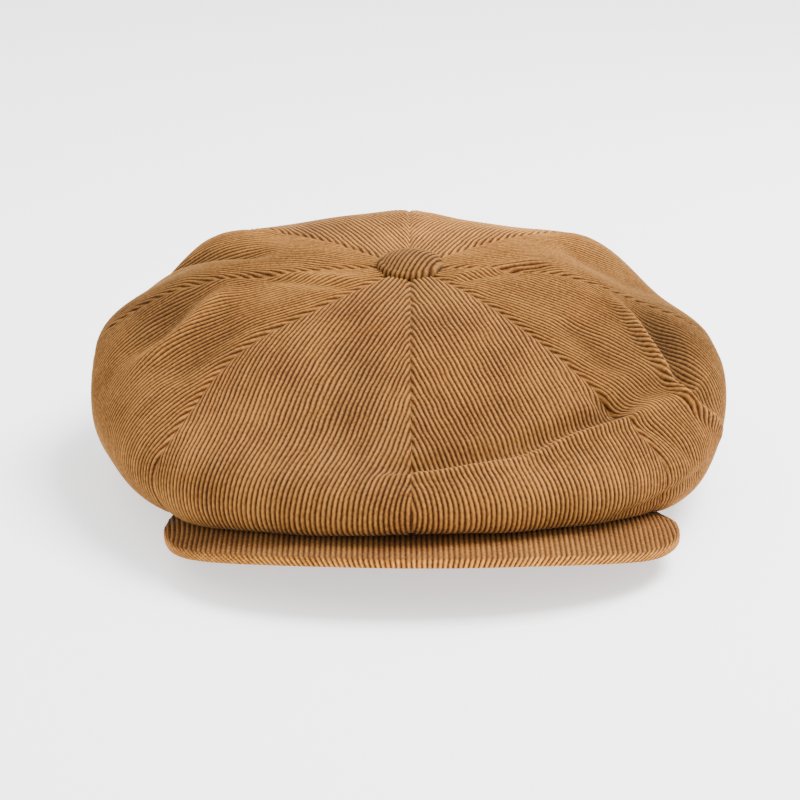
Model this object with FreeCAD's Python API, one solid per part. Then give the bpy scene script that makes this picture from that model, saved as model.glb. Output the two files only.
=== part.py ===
import FreeCAD, Part
import math
import os

# Newsboy cap: an eight-panel crown with its lining, a covered button, a sweatband and a
# visor. Millimetres. +Z is up, the visor points to -Y, and the wearer's left is +X.
# The origin is under the middle of the head opening, on the surface the cap rests on.

# ---- crown -------------------------------------------------------------------------
PANELS = 8
CLOTH = 1.5              # corduroy with its fused interlining
LINING_GAP = 0.8         # between the corduroy and the lining
LINING = 0.5
PANEL_BULGE = 1.5        # how far a panel's middle stands out between its seams
SECTIONS = 5             # meridian profiles that a panel is lofted through

# Meridian of the crown from the apex to the rim. A row gives the radius and then the height
# of one level at the front, the front corners, the sides, the rear corners and the back.
MERIDIAN = [
    ((3, 3, 3, 3, 3), (90, 90, 90, 90, 90)),
    ((32, 34, 35, 37, 38), (85, 86.3, 89, 91.5, 92.5)),
    ((70, 74, 78, 78, 72), (71, 74.5, 82, 89.5, 92.5)),
    ((104, 109, 113, 111, 100), (54, 59, 70, 80, 84)),
    ((128, 130.5, 131, 128, 119), (41, 44.5, 54, 64, 69)),
    ((138, 137, 134.5, 132, 128), (33, 31, 35, 42, 46)),
    ((133, 130, 126, 125, 125), (28.5, 19, 14, 18, 22)),
    ((118, 113, 107, 110, 115), (27.5, 19.5, 6.5, 7.5, 8)),
]
SIDE_NAMES = ["front", "side_front", "side_rear", "rear"]

# ---- head opening and sweatband ----------------------------------------------------
HEAD_HALF_X = 83.0       # inner half axes of the sweatband: 58 cm around
HEAD_HALF_Y = 100.0
BAND = 1.2               # sweatband thickness
BAND_HEIGHT = 29.0
RIM_GAP = 0.4            # between the sweatband and the crown's turned edge

# ---- visor -------------------------------------------------------------------------
VISOR_HALF_WIDTH = 101.5
VISOR_WIDEST_Y = -97.0
VISOR_FRONT_Y = -157.5
VISOR_CORNER_POWER = 2.25   # superellipse power of the front outline
VISOR_END = (80.0, -47.0)   # where the visor's side meets the rim
VISOR_SIDE = (96.5, -72.0)  # a point that its side edge bends through
VISOR_MID_Z = 22.2       # height of the visor's middle layer on the centre line
VISOR_ARCH = 13.0        # how much lower its front edge is at the full half width
VISOR_ARCH_POWER = 3.0
ROOT_ARCH = 16.0         # how much lower its sewn edge is at the root's half width
ROOT_HALF_WIDTH = 78.0
ROOT_ARCH_POWER = 1.8
BOARD = 2.0              # visor board thickness
VISOR_CLOTH = 1.1        # cover above and below the board
HEM = 1.3                # how far the covers stand out past the board
VISOR_CLEARANCE = 0.8    # between the visor and everything sewn to the crown

# ---- button ------------------------------------------------------------------------
BUTTON_RADIUS = 13.5
BUTTON_DOME = 5.2
BUTTON_CLOTH = 1.0
BUTTON_SHELL = 0.5
BUTTON_PLATE = 0.7
BUTTON_PLATE_INSET = 2.4  # it fits inside the shell where the dome has narrowed
BUTTON_TILT = 6.0        # degrees, leaning to the front
BUTTON_BASE_Z = 91.0
PRONG_WIDTH = 3.0
PRONG_THICK = 0.5
PRONG_REACH = 10.0       # each bent leg, measured from the button's axis
PRONG_DROP = 6.0         # from the back plate down to the bent legs

# ---- size tab ----------------------------------------------------------------------
TAB_WIDTH = 24.0
TAB_HEIGHT = 14.0
TAB_THICK = 0.5

VISOR_THICK = BOARD + 2 * VISOR_CLOTH
RIM_HALF_X = HEAD_HALF_X + BAND + RIM_GAP
RIM_HALF_Y = HEAD_HALF_Y + BAND + RIM_GAP
RIM_ON_VISOR = math.radians(64)   # the rim lies on the visor up to this angle from the front
RIM_ON_FLOOR = math.radians(97)   # and on the floor from this one


def vec(x, y, z):
    return FreeCAD.Vector(x, y, z)


def around(values, angle):
    """Smooth value round the crown through the ones at 0, 45, 90, 135 and 180 degrees."""
    last = len(values) - 1
    total = 0.0
    for order in range(last + 1):
        share = 0.0
        for place, value in enumerate(values):
            weight = 0.5 if place in (0, last) else 1.0
            share += weight * value * math.cos(math.pi * order * place / last)
        half = 0.5 if order in (0, last) else 1.0
        total += half * 2 / last * share * math.cos(order * angle)
    return total


def smooth_step(t):
    t = min(max(t, 0.0), 1.0)
    return t * t * (3 - 2 * t)


def visor_z(x, y):
    """Height of the visor's middle layer: a flat arch in front, a higher one where it is sewn."""
    back = min(max((y - VISOR_WIDEST_Y) / (VISOR_END[1] - VISOR_WIDEST_Y), 0.0), 1.0)
    front_drop = VISOR_ARCH * abs(x / VISOR_HALF_WIDTH) ** VISOR_ARCH_POWER
    root_drop = ROOT_ARCH * abs(x / ROOT_HALF_WIDTH) ** ROOT_ARCH_POWER
    return VISOR_MID_Z - front_drop * (1 - back) - root_drop * back


def rim_radius(angle):
    across = math.sin(angle) / RIM_HALF_X
    along = math.cos(angle) / RIM_HALF_Y
    return 1 / math.hypot(across, along)


def visor_share(angle):
    """1 where the rim lies on the visor, falling to 0 where it lies on the floor."""
    return smooth_step((RIM_ON_FLOOR - abs(angle)) / (RIM_ON_FLOOR - RIM_ON_VISOR))


def rim_height(angle):
    radius = rim_radius(angle)
    on_visor = visor_z(radius * math.sin(angle), -radius * math.cos(angle))
    return visor_share(angle) * (on_visor + VISOR_THICK / 2 + VISOR_CLEARANCE)


def meridian(angle):
    """Outer curve of the crown in the vertical plane at an angle; 0 is the front, 90 is +X."""
    angle = math.atan2(math.sin(angle), math.cos(angle))
    bulge = PANEL_BULGE * math.sin(PANELS / 2 * angle) ** 2
    points = []
    for row, (radii, heights) in enumerate(MERIDIAN):
        swell = bulge * math.sin(math.pi * row / len(MERIDIAN))
        points.append(vec(around(radii, angle) + swell, around(heights, angle), 0))
    points.append(vec(rim_radius(angle), rim_height(angle), 0))
    curve = Part.BSplineCurve()
    curve.interpolate(points)
    return curve


def offset_points(curve, depth, count=24):
    """Points of a meridian moved inwards by depth, as (radius, height, 0)."""
    points = []
    for step in range(count + 1):
        u = curve.FirstParameter + (curve.LastParameter - curve.FirstParameter) * step / count
        tangent = curve.tangent(u)[0]
        inward = vec(tangent.y, -tangent.x, 0)
        points.append(curve.value(u) + inward * depth)
    return points


def spline_edge(points):
    curve = Part.BSplineCurve()
    curve.interpolate(points)
    return curve.toShape()


def in_plane(points, angle):
    """Turn (radius, height) points into the vertical plane at an angle."""
    return [vec(p.x * math.sin(angle), -p.x * math.cos(angle), p.y) for p in points]


def trim_inside_rim(points, angle):
    """End a layer at the rim's radius or outside it, so that it stays off the sweatband."""
    last = points[-1]
    return points[:-1] + [vec(max(last.x, rim_radius(angle)), last.y, 0)]


def layer_profile(angle, outer_depth, inner_depth):
    curve = meridian(angle)
    outer = in_plane(trim_inside_rim(offset_points(curve, outer_depth), angle), angle)
    inner = in_plane(trim_inside_rim(offset_points(curve, inner_depth), angle), angle)
    edges = [
        spline_edge(outer),
        Part.LineSegment(outer[-1], inner[-1]).toShape(),
        spline_edge(inner[::-1]),
        Part.LineSegment(inner[0], outer[0]).toShape(),
    ]
    return Part.Wire(edges)


def panel(first_angle, outer_depth, inner_depth):
    """One gore of the crown or lining, from one seam to the next."""
    width = 2 * math.pi / PANELS
    wires = []
    for section in range(SECTIONS):
        angle = first_angle + width * section / (SECTIONS - 1)
        wires.append(layer_profile(angle, outer_depth, inner_depth))
    return Part.makeLoft(wires, True, False)


def panels(prefix, outer_depth, inner_depth):
    """All eight panels of one layer, by name."""
    made = {}
    width = 2 * math.pi / PANELS
    for place, where in enumerate(SIDE_NAMES):
        made[f"{prefix}_{where}_left"] = panel(place * width, outer_depth, inner_depth)
        made[f"{prefix}_{where}_right"] = panel(-(place + 1) * width, outer_depth, inner_depth)
    return made


def ellipse_prism(half_x, half_y, bottom, top):
    """An upright elliptical column; its long axis is along Y."""
    ellipse = Part.Ellipse(vec(0, half_y, bottom), vec(half_x, 0, bottom), vec(0, 0, bottom))
    face = Part.Face(Part.Wire(ellipse.toShape()))
    return face.extrude(vec(0, 0, top - bottom))


def rim_profile(lift, visor_side):
    """Edge of a height that follows the rim from back to front, in the YZ plane."""
    points = []
    steps = 20
    for step in range(steps + 1):
        angle = math.pi * (1 - step / steps)
        drop = visor_side * visor_share(angle)
        y = -rim_radius(angle) * math.cos(angle)
        points.append(vec(0, y, rim_height(angle) + lift - drop))
    return points


def sweatband():
    """Elliptical ring whose lower edge dips to the visor's underside at the front."""
    low, high = -10.0, 90.0
    outer = ellipse_prism(HEAD_HALF_X + BAND, HEAD_HALF_Y + BAND, low, high)
    ring = outer.cut(ellipse_prism(HEAD_HALF_X, HEAD_HALF_Y, low, high))
    bottom = rim_profile(0, VISOR_THICK)
    top = rim_profile(BAND_HEIGHT, VISOR_THICK)
    edges = [
        spline_edge(bottom),
        Part.LineSegment(bottom[-1], top[-1]).toShape(),
        spline_edge(top[::-1]),
        Part.LineSegment(top[0], bottom[0]).toShape(),
    ]
    width = 2 * HEAD_HALF_X + 20
    side_view = Part.Face(Part.Wire(edges)).extrude(vec(width, 0, 0))
    side_view.translate(vec(-width / 2, 0, 0))
    return ring.common(side_view)


def size_tab():
    """Blank folded tab sewn to the inside of the sweatband at the back."""
    back = HEAD_HALF_Y - 1.2
    tab = Part.makeBox(TAB_WIDTH, TAB_THICK, TAB_HEIGHT)
    tab.translate(vec(-TAB_WIDTH / 2, back - TAB_THICK, BAND_HEIGHT - TAB_HEIGHT - 6))
    return tab


def visor_outline(inset):
    """Plan view of the visor, without the head opening, as a face on the floor."""
    half = VISOR_HALF_WIDTH - inset
    front = VISOR_FRONT_Y + inset
    points = []
    steps = 24
    for step in range(steps + 1):
        turn = math.pi * (step / steps - 0.5)
        across = math.copysign(abs(math.sin(turn)) ** (2 / VISOR_CORNER_POWER), math.sin(turn))
        along = abs(math.cos(turn)) ** (2 / VISOR_CORNER_POWER)
        points.append(vec(half * across, VISOR_WIDEST_Y + (front - VISOR_WIDEST_Y) * along, 0))
    end_x, end_y = VISOR_END
    side_x, side_y = VISOR_SIDE
    points = [vec(inset - end_x, end_y, 0), vec(inset - side_x, side_y, 0)] + points
    points += [vec(side_x - inset, side_y, 0), vec(end_x - inset, end_y, 0)]
    back = Part.LineSegment(points[-1], points[0]).toShape()
    return Part.Face(Part.Wire([spline_edge(points), back]))


def slab_profile(y, below, above):
    reach = VISOR_HALF_WIDTH + 8
    steps = 16
    lower = []
    upper = []
    for step in range(steps + 1):
        x = reach * (2 * step / steps - 1)
        lower.append(vec(x, y, visor_z(x, y) + below))
        upper.append(vec(x, y, visor_z(x, y) + above))
    edges = [
        spline_edge(lower),
        Part.LineSegment(lower[-1], upper[-1]).toShape(),
        spline_edge(upper[::-1]),
        Part.LineSegment(upper[0], lower[0]).toShape(),
    ]
    return Part.Wire(edges)


def arched_slab(below, above):
    """Everything between two heights measured from the visor's middle layer."""
    front = VISOR_FRONT_Y - 10
    back = VISOR_END[1] + 5
    steps = 8
    stations = [front + (back - front) * step / steps for step in range(steps + 1)]
    return Part.makeLoft([slab_profile(y, below, above) for y in stations], True, False)


def visor_layer(inset, below, above):
    tall = 60.0
    plan = visor_outline(inset).extrude(vec(0, 0, tall))
    opening = ellipse_prism(
        HEAD_HALF_X + BAND + VISOR_CLEARANCE + inset,
        HEAD_HALF_Y + BAND + VISOR_CLEARANCE + inset,
        -1,
        tall + 1,
    )
    return arched_slab(below, above).common(plan.cut(opening))


def visor():
    """The board and the two covers, which meet around it where they are sewn."""
    half = VISOR_THICK / 2
    board = visor_layer(HEM, -BOARD / 2, BOARD / 2)
    return {
        "visor_board": board,
        "visor_top_cover": visor_layer(0, 0, half).cut(board),
        "visor_under_cover": visor_layer(0, -half, 0).cut(board),
    }


def dome(radius, height, base):
    """Solid spherical cap standing on the height base."""
    sphere_radius = (radius ** 2 + height ** 2) / (2 * height)
    ball = Part.makeSphere(sphere_radius, vec(0, 0, base + height - sphere_radius))
    keep = Part.makeCylinder(radius + 1, height + 1, vec(0, 0, base))
    return ball.common(keep)


def prongs():
    """Split pin of the button: a strip that goes down through the apex and opens inside."""
    half_gap = 0.3
    legs = []
    for side in (-1, 1):
        inner = side * half_gap
        outer = side * (half_gap + PRONG_THICK)
        down = Part.makeBox(PRONG_THICK, PRONG_WIDTH, PRONG_DROP)
        down.translate(vec(min(inner, outer), -PRONG_WIDTH / 2, -PRONG_DROP))
        flat = Part.makeBox(PRONG_REACH - half_gap, PRONG_WIDTH, PRONG_THICK)
        start = half_gap if side > 0 else -PRONG_REACH
        flat.translate(vec(start, -PRONG_WIDTH / 2, -PRONG_DROP - PRONG_THICK))
        legs.append(down.fuse(flat))
    bridge = Part.makeBox(2 * (half_gap + PRONG_THICK), PRONG_WIDTH, PRONG_THICK)
    bridge.translate(vec(-half_gap - PRONG_THICK, -PRONG_WIDTH / 2, 0))
    return bridge.fuse(legs).removeSplitter()


def button():
    """Covered button: cloth over a domed shell, closed by a back plate that holds the prongs."""
    shell_radius = BUTTON_RADIUS - BUTTON_CLOTH
    shell_dome = BUTTON_DOME - BUTTON_CLOTH
    hollow_radius = shell_radius - BUTTON_SHELL
    hollow = dome(hollow_radius, shell_dome - BUTTON_SHELL, 0)
    shell_solid = dome(shell_radius, shell_dome, 0)
    plate = Part.makeCylinder(hollow_radius - BUTTON_PLATE_INSET, BUTTON_PLATE, vec(0, 0, 0))
    slot = Part.makeBox(2.4, PRONG_WIDTH + 0.4, 3 * BUTTON_PLATE)
    slot.translate(vec(-1.2, -PRONG_WIDTH / 2 - 0.2, -BUTTON_PLATE))
    pin = prongs()
    pin.translate(vec(0, 0, BUTTON_PLATE))
    made = {
        "button_cover": dome(BUTTON_RADIUS, BUTTON_DOME, 0).cut(shell_solid),
        "button_shell": shell_solid.cut(hollow),
        "button_back_plate": plate.cut(slot),
        "button_prongs": pin,
    }
    for shape in made.values():
        shape.rotate(vec(0, 0, 0), vec(1, 0, 0), BUTTON_TILT)
        shape.translate(vec(0, 0, BUTTON_BASE_Z))
    return made


def main():
    os.makedirs("parts", exist_ok=True)
    nodes = panels("crown_panel", 0.0, CLOTH)
    lining_depth = CLOTH + LINING_GAP
    nodes.update(panels("lining_panel", lining_depth, lining_depth + LINING))
    nodes.update(button())
    nodes.update(visor())
    nodes["sweatband"] = sweatband()
    nodes["size_tab"] = size_tab()
    for name, shape in nodes.items():
        shape.exportStep(f"parts/{name}.step")
        box = shape.BoundBox
        print(f"{name}: valid {shape.isValid()}, {len(shape.Solids)} solid, {shape.Volume:.0f} mm3, "
              f"z {box.ZMin:.1f} to {box.ZMax:.1f}")


main()
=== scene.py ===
import math

import bpy
import numpy as np
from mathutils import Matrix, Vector
from mathutils.bvhtree import BVHTree


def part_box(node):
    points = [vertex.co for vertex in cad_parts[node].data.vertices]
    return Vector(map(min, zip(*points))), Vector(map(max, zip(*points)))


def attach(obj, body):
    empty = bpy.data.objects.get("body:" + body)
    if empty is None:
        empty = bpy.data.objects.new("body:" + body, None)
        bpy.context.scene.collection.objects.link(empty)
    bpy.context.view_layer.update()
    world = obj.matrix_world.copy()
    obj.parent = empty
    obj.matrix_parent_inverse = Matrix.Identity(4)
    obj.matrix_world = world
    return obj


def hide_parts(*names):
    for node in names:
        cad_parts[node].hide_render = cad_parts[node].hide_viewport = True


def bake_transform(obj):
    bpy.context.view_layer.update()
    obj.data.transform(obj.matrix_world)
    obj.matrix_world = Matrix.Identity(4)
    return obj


# Looks of a corduroy newsboy cap. Lengths are millimetres here, and become metres when a
# mesh is made. Angles round the crown are degrees from the front, and 90 is +X. In comments
# left and right are as seen from the front, so that +X is right. In the names of the CAD
# nodes they are the wearer's, so that +X is left.

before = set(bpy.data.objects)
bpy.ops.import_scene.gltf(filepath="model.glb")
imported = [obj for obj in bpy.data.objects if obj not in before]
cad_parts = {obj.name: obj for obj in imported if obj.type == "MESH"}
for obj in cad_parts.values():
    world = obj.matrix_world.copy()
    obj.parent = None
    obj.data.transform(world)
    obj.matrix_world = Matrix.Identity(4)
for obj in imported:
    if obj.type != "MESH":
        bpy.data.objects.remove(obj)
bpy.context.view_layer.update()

MM = 0.001
PANELS = 8
HALF_PANEL = 180 / PANELS
SIDES = ["front", "side_front", "side_rear", "rear"]


def gores(prefix):
    """Node name and middle angle of each of the panels in a ring."""
    for place, side in enumerate(SIDES):
        for hand, sign in (("left", 1), ("right", -1)):
            yield f"{prefix}_{side}_{hand}", sign * (2 * place + 1) * HALF_PANEL


# ---- small helpers ----
def add_object(name, data):
    made = bpy.data.objects.new(name, data)
    bpy.context.scene.collection.objects.link(made)
    return made


def gauss(x, width):
    """A bump of height 1 at zero, which has fallen to 0.37 at width."""
    return np.exp(-(x / width) ** 2)


def smooth(x, low, high):
    """0 up to low, 1 from high on, and an even curve between them."""
    t = np.clip((x - low) / (high - low), 0, 1)
    return t * t * (3 - 2 * t)


def waves(x, y, size, seed, count=7):
    """Smooth noise of about -1 to 1 whose bumps are about size across."""
    random = np.random.default_rng(seed)
    total = np.zeros_like(x)
    for _ in range(count):
        heading = random.uniform(0, 2 * math.pi)
        pitch = 2 * math.pi / (size * random.uniform(1.5, 3.2))
        phase = random.uniform(0, 2 * math.pi)
        total += np.sin(pitch * (x * math.cos(heading) + y * math.sin(heading)) + phase)
    return total / math.sqrt(count) / 1.4


def off_angle(angle, middle):
    """Degrees from middle to angle, the short way round."""
    return (angle - middle + 180) % 360 - 180


def unit(vectors):
    return vectors / np.maximum(np.linalg.norm(vectors, axis=-1, keepdims=True), 1e-9)


def grid_faces(rows, columns, start=0, flip=False, closed=False):
    """Quads of a grid of points numbered row by row; closed joins its last column to its first."""
    index = np.arange(rows * columns).reshape(rows, columns) + start
    if closed:
        index = np.concatenate([index, index[:, :1]], axis=1)
    corners = [index[:-1, :-1], index[:-1, 1:], index[1:, 1:], index[1:, :-1]]
    quads = np.stack(corners, axis=-1).reshape(-1, 4)
    return quads[:, ::-1] if flip else quads


def make_mesh(name, points, quads, values=None, pattern=None):
    """Mesh object from points in millimetres, with per-point values and a cloth pattern UV."""
    mesh = bpy.data.meshes.new(name)
    mesh.vertices.add(len(points))
    mesh.vertices.foreach_set("co", (np.asarray(points) * MM).astype(np.float32).ravel())
    mesh.loops.add(quads.size)
    mesh.loops.foreach_set("vertex_index", quads.astype(np.int32).ravel())
    mesh.polygons.add(len(quads))
    mesh.polygons.foreach_set("loop_start", np.arange(0, quads.size, 4, dtype=np.int32))
    mesh.update(calc_edges=True)
    mesh.polygons.foreach_set("use_smooth", np.ones(len(quads), dtype=bool))
    for key, array in (values or {}).items():
        attribute = mesh.attributes.new(key, "FLOAT", "POINT")
        attribute.data.foreach_set("value", np.asarray(array, dtype=np.float32))
    if pattern is not None:
        layer = mesh.uv_layers.new(name="pattern")
        layer.data.foreach_set("uv", pattern[quads.ravel()].astype(np.float32).ravel())
    mesh.validate()
    return add_object(name, mesh)


def both_faces(outer, inner):
    """One list of points, the outer face's first."""
    return np.concatenate([outer.reshape(-1, 3), inner.reshape(-1, 3)])


def shell_quads(rows, columns):
    """Quads of a closed shell: an outer grid, an inner grid after it, and walls round both."""
    count = rows * columns
    outer = grid_faces(rows, columns)
    inner = grid_faces(rows, columns, start=count, flip=True)
    index = np.arange(count).reshape(rows, columns)
    loop = np.concatenate([index[0, :-1], index[:-1, -1], index[-1, :0:-1], index[:0:-1, 0]])
    ahead = np.roll(loop, -1)
    walls = np.stack([ahead, loop, loop + count, ahead + count], axis=-1)
    return np.concatenate([outer, inner, walls])


def ribbed_mesh(name, points, quads, rib, shade, flat):
    """A mesh of corduroy. The inner face's points come last, and have no ribs."""
    values = {
        "rib": np.concatenate([rib.ravel(), np.full(rib.size, 0.5)]),
        "shade": np.tile(np.broadcast_to(shade, rib.shape).ravel(), 2),
    }
    pattern = np.tile(np.stack(flat, axis=-1).reshape(-1, 2) * MM, (2, 1))
    return make_mesh(name, points, quads, values, pattern)


# ---- camera ----
CAMERA_TARGET = (-4.3, 0.0, 29.7)
CAMERA_DISTANCE = 950.0
CAMERA_ELEVATION = 20.0
CAMERA_LENS = 98.2
CAMERA_SENSOR = 36.0


def make_camera():
    tilt = math.radians(CAMERA_ELEVATION)
    data = bpy.data.cameras.new("camera")
    data.lens = CAMERA_LENS
    data.sensor_width = CAMERA_SENSOR
    data.clip_start = 0.05
    camera = add_object("camera", data)
    back = Vector((0, -math.cos(tilt), math.sin(tilt))) * CAMERA_DISTANCE
    camera.location = (Vector(CAMERA_TARGET) + back) * MM
    camera.rotation_euler = (math.pi / 2 - tilt, 0, 0)
    bpy.context.scene.camera = camera


make_camera()


# ---- the crown's resting form, read from the frame ----
RAYS = 90  # to find a meridian, all from a core inside the crown's rolled edge
CORE_RADIUS = 88.0
CORE_HEIGHT = 45.0
BEYOND = 150.0  # from the core, and outside the crown
BELOW = 50.0  # heights outside it, to look up and down from
ABOVE = 200.0
TOP_RADIUS = 5.0  # where the apex height is read, beside the seams' meeting point
ANGLE_STEP = 5.0
LEVELS = 241  # points along a meridian
FINE = 2401  # the same, filled in
HARMONICS = 6  # finer ripples round the crown are the CAD mesh's own facets


def node_tree(names):
    """Search tree over the faces of some CAD nodes, in millimetres."""
    points = []
    faces = []
    for name in names:
        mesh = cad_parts[name].data
        first = len(points)
        points += [vertex.co / MM for vertex in mesh.vertices]
        faces += [[first + i for i in polygon.vertices] for polygon in mesh.polygons]
    return BVHTree.FromPolygons(points, faces)


band_low, band_high = (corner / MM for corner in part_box("sweatband"))
BAND_HALF_X = (band_high.x - band_low.x) / 2
BAND_HALF_Y = (band_high.y - band_low.y) / 2
RIM_GAP = 0.4


def rim_radius(angle, extra=RIM_GAP):
    turn = np.radians(angle)
    across = np.sin(turn) / (BAND_HALF_X + extra)
    along = np.cos(turn) / (BAND_HALF_Y + extra)
    return 1 / np.hypot(across, along)


def meridian_points(tree, angle):
    """Outer points of the CAD crown at an angle, as (radius, height), from apex to rim."""
    turn = math.radians(angle)
    out = Vector((math.sin(turn), -math.cos(turn), 0))
    up = Vector((0, 0, 1))
    rim = rim_radius(angle, RIM_GAP + 0.5)
    rim_hit = tree.ray_cast(out * rim - up * BELOW, up)[0]
    top_hit = tree.ray_cast(out * TOP_RADIUS + up * ABOVE, -up)[0]
    core = out * CORE_RADIUS + up * CORE_HEIGHT
    first = math.atan2(top_hit.z - core.z, TOP_RADIUS - CORE_RADIUS)
    last = math.atan2(rim_hit.z - core.z, rim - CORE_RADIUS)
    if last > 0:
        last -= 2 * math.pi
    found = [(0.0, top_hit.z)]
    for step in range(RAYS + 1):
        slope = first + (last - first) * step / RAYS
        ray = out * math.cos(slope) + up * math.sin(slope)
        hit = tree.ray_cast(core + ray * BEYOND, -ray)[0]
        if hit is not None:
            found.append((hit.dot(out), hit.z))
    return np.array(found)


def by_length(points, count):
    """The same curve with count points, evenly spaced along it."""
    steps = np.hypot(*np.diff(points, axis=0).T)
    along = np.concatenate([[0], np.cumsum(steps)])
    even = np.linspace(0, along[-1], count)
    return np.stack([np.interp(even, along, points[:, i]) for i in (0, 1)], axis=-1), along[-1]


def soften(columns, width):
    """Columns of numbers smoothed along their length, with their ends kept."""
    reach = int(3 * width)
    kernel = gauss(np.arange(-reach, reach + 1), width)
    kernel /= kernel.sum()
    head = 2 * columns[:1] - columns[reach:0:-1]
    tail = 2 * columns[-1:] - columns[-2:-reach - 2:-1]
    padded = np.concatenate([head, columns, tail])
    return np.stack([np.convolve(column, kernel, "valid") for column in padded.T], axis=-1)


def read_crown():
    """Harmonics of the crown's radius and height at FINE places from apex to rim."""
    tree = node_tree([node for node, _ in gores("crown_panel")])
    first = ANGLE_STEP / 2  # so that no ray runs into the crack along a seam
    angles = first + np.arange(0, 360, ANGLE_STEP)
    read = [by_length(meridian_points(tree, float(angle)), LEVELS) for angle in angles]
    rings, lengths = zip(*read)
    spectrum = np.fft.rfft(np.array(rings), axis=0)[:HARMONICS + 1] / len(angles)
    spectrum[1:] *= 2
    shift = np.exp(-1j * np.arange(HARMONICS + 1) * math.radians(first))
    spectrum *= shift[:, None, None]
    parts = np.concatenate([spectrum.real, spectrum.imag]).transpose(1, 0, 2).reshape(LEVELS, -1)
    parts = soften(parts, 2.0)
    coarse = np.linspace(0, 1, LEVELS)
    fine = np.linspace(0, 1, FINE)
    filled = np.stack([np.interp(fine, coarse, column) for column in parts.T], axis=-1)
    return soften(filled, 8.0).reshape(FINE, 2, HARMONICS + 1, 2), float(np.mean(lengths))


CROWN_PARTS, CROWN_LENGTH = read_crown()


def patch(angle, along, middle, centre, wide, long):
    """A bump of height 1 on the crown, at an angle and a distance from the apex."""
    return gauss(off_angle(angle, middle), wide) * gauss(along - centre, long)


# Where the seams have been pulled round the crown: angle, distance from the apex, width
# in degrees, width along, and degrees moved.
TWISTS = [
    (-45, 85, 24, 42, -7),
]


def turned(angle, along):
    """The angle in space of a place that is at angle on the flat cloth."""
    total = np.zeros_like(angle)
    for *place, move in TWISTS:
        total += move * patch(angle, along, *place)
    return angle + total


# Broad swellings of the crown: angle, distance from the apex, width in degrees, width
# along, how far out and how far up.
SWELLINGS = [
    (108, 112, 16, 36, -8, -4),
    (133, 108, 10, 26, 2, 1),
    (158, 100, 16, 32, -1, -3),
    (-112, 105, 14, 34, -3, -2),
    (-135, 108, 14, 30, 4, 3),
    (0, 178, 60, 24, 3, -2.5),
    (0, 156, 56, 17, 8, 4),
    (-38, 178, 24, 22, 1, -3.5),
    (-62, 165, 16, 22, -3, 1),
    (-96, 130, 14, 20, 3, 1),
    (96, 128, 16, 24, 3.5, 1),
    (-142, 98, 14, 24, -1, -3),
    (100, 100, 12, 22, 0, -2),
    (48, 178, 20, 22, 0, -3),
    (88, 165, 26, 30, -3, 0),
    (180, 105, 10, 30, 0, 3),
    (-93, 90, 15, 26, 0, 5),
    (92, 60, 18, 26, 0, 2),
    (116, 100, 10, 24, -2.5, -2.5),
    (145, 88, 9, 18, 0, -1.5),
    (129, 92, 6, 16, 0, 1.5),
]


def swollen(angle, along):
    """How far out and how far up the swellings move the crown there."""
    outwards = np.zeros_like(angle)
    upwards = np.zeros_like(angle)
    for *place, out, up in SWELLINGS:
        share = patch(angle, along, *place)
        outwards += out * share
        upwards += up * share
    return outwards, upwards


def resting_form(angle, level):
    """Points of the smooth crown at an angle and a level from 0, the apex, to 1, the rim."""
    angle = turned(angle, level * CROWN_LENGTH)
    place = np.clip(level, 0, 1) * (FINE - 1)
    below = np.minimum(place.astype(int), FINE - 2)
    share = (place - below)[..., None, None, None]
    parts = CROWN_PARTS[below] * (1 - share) + CROWN_PARTS[below + 1] * share
    turn = np.radians(angle)
    orders = np.arange(HARMONICS + 1) * turn[..., None]
    both = (parts[..., 0, :, :] * np.cos(orders)[..., None]
            - parts[..., 1, :, :] * np.sin(orders)[..., None]).sum(axis=-2)
    outwards, upwards = swollen(angle, level * CROWN_LENGTH)
    radius = both[..., 0] + outwards
    height = both[..., 1] + upwards
    return np.stack([radius * np.sin(turn), -radius * np.cos(turn), height], axis=-1)


def outward(angle, level):
    """Outward normals of the resting form."""
    step_a = 0.2
    step_l = 0.5 / CROWN_LENGTH
    turn = resting_form(angle + step_a, level) - resting_form(angle - step_a, level)
    low = np.clip(level - step_l, 0, 1)
    high = np.clip(level + step_l, 0, 1)
    along = resting_form(angle, high) - resting_form(angle, low)
    return unit(np.cross(along, turn))


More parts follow.
